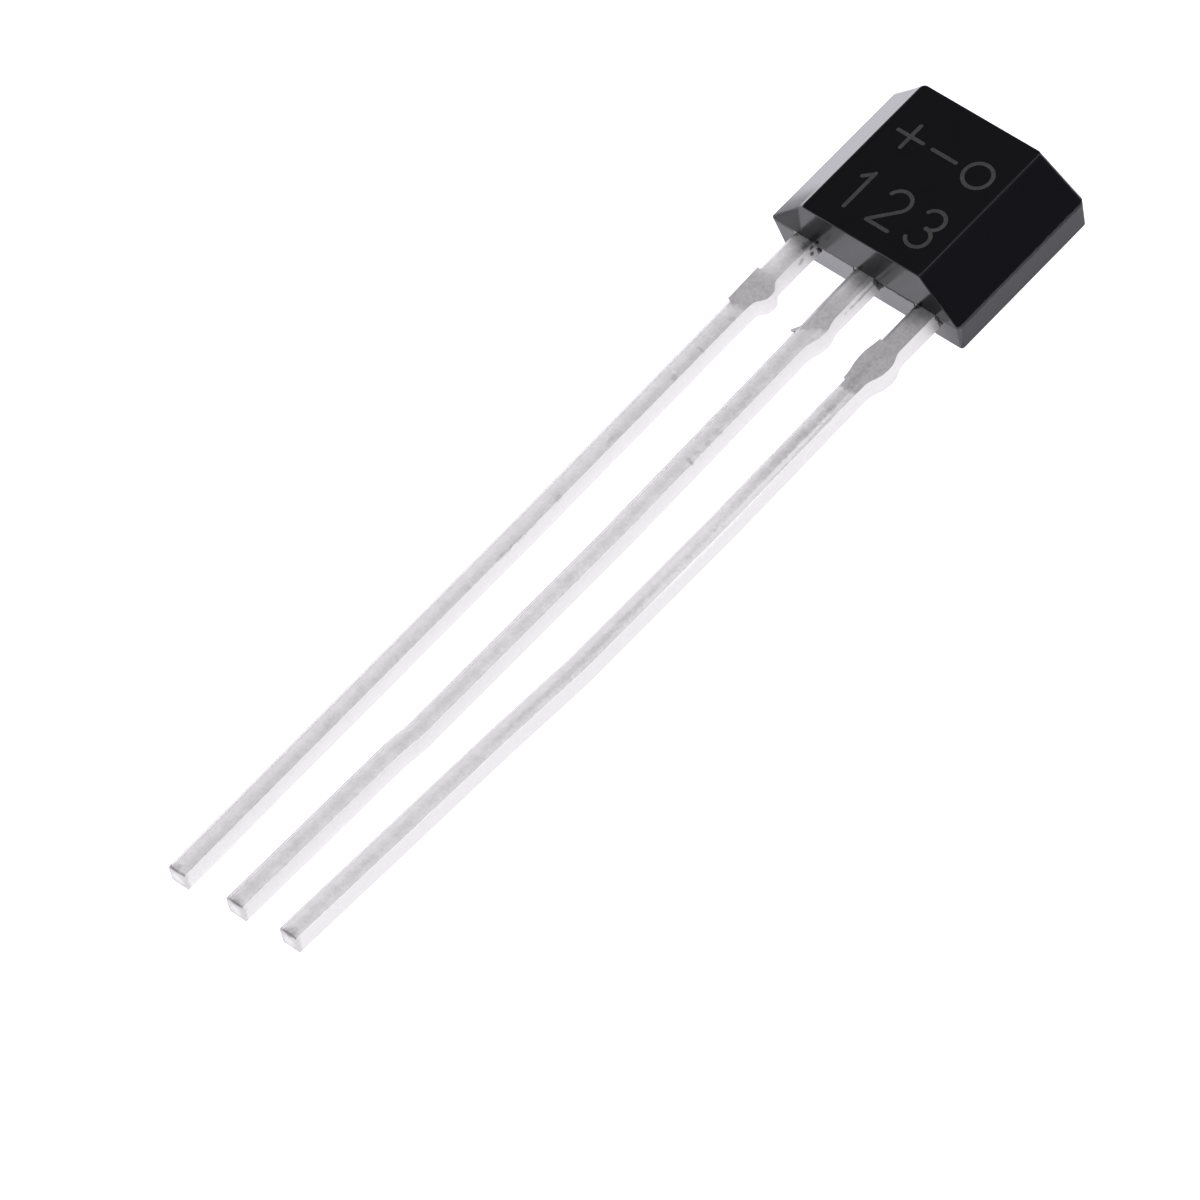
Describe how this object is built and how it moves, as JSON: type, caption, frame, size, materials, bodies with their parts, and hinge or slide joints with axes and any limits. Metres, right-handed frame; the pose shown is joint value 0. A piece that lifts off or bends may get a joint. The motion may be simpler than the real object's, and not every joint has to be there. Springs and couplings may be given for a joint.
{
  "type": "hall effect sensor",
  "caption": "Flat black moulded Hall effect sensor package with bevelled long edges and straight tinned leads side by side, lying on its back.",
  "frame": {"origin": "centre of the flat back face, on the surface the package lies on", "axes": "+Z out of the sensing face, +Y from the lead tips towards the package, +X to the right when the sensing face is seen with the leads pointing down"},
  "size_m": [0.004, 0.0179, 0.0014],
  "materials": {
    "epoxy": "satin black epoxy moulding compound",
    "tinned_lead": "satin tin plating over copper alloy sheet",
    "die_adhesive": "silver filled adhesive",
    "silicon": "polished silicon chip",
    "gold_wire": "drawn gold wire"
  },
  "bodies": {
    "root": {"package_body": "epoxy", "lead_left": "tinned_lead", "lead_middle": "tinned_lead", "lead_right": "tinned_lead", "die_attach": "die_adhesive", "hall_die": "silicon", "bond_wire_left": "gold_wire", "bond_wire_middle": "gold_wire", "bond_wire_right": "gold_wire"}
  },
  "joints": []
}
